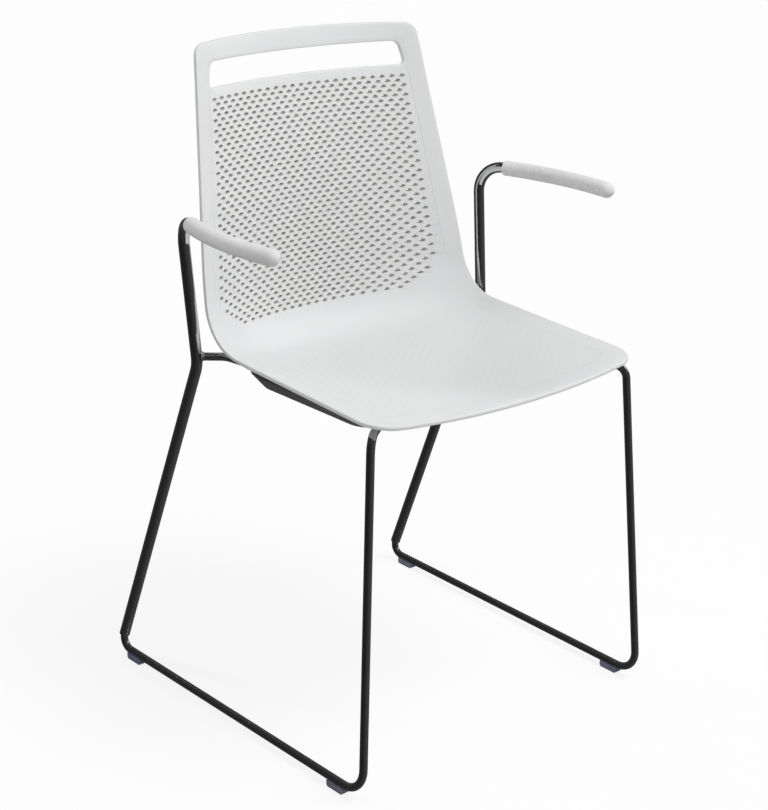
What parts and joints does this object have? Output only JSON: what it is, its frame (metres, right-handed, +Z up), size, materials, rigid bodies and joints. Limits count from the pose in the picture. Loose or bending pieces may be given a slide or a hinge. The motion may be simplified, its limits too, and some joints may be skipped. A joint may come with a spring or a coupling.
{
  "type": "sled base visitor chair with arms",
  "caption": "Visitor chair: one-piece perforated plastic shell with a handle slot on a bent chrome rod sled base with arms",
  "frame": {"origin": "centre of the chair's box at floor level, so the glides rest on z = 0", "axes": "+Z up; the sitter looks along -Y; +X is the sitter's left"},
  "size_m": [0.564, 0.5046, 0.8274],
  "materials": {
    "shell": "fine satin, off-white",
    "cover": "satin, dark grey",
    "chrome": "polished chrome plate",
    "rail": "black paint",
    "grip": "matte, light grey",
    "plug": "satin, dark grey",
    "glide": "smoky translucent",
    "fastener": "zinc plated",
    "weld": "plated over the bead"
  },
  "bodies": {
    "root": {"arm_sleeve_left": "grip", "arm_sleeve_right": "grip", "arm_tube_left": "chrome", "arm_tube_plug_left": "plug", "arm_tube_plug_right": "plug", "arm_tube_right": "chrome", "cover_screws": "fastener", "front_crossbar": "chrome", "glide_front_left": "glide", "glide_front_right": "glide", "glide_rear_left": "glide", "glide_rear_right": "glide", "rear_crossbar": "chrome", "seat_rail_left": "rail", "seat_rail_right": "rail", "seat_screws": "fastener", "seat_shell": "shell", "seat_washers": "fastener", "sled_rod_left": "chrome", "sled_rod_right": "chrome", "under_seat_cover": "cover", "weld_beads": "weld"}
  },
  "joints": []
}
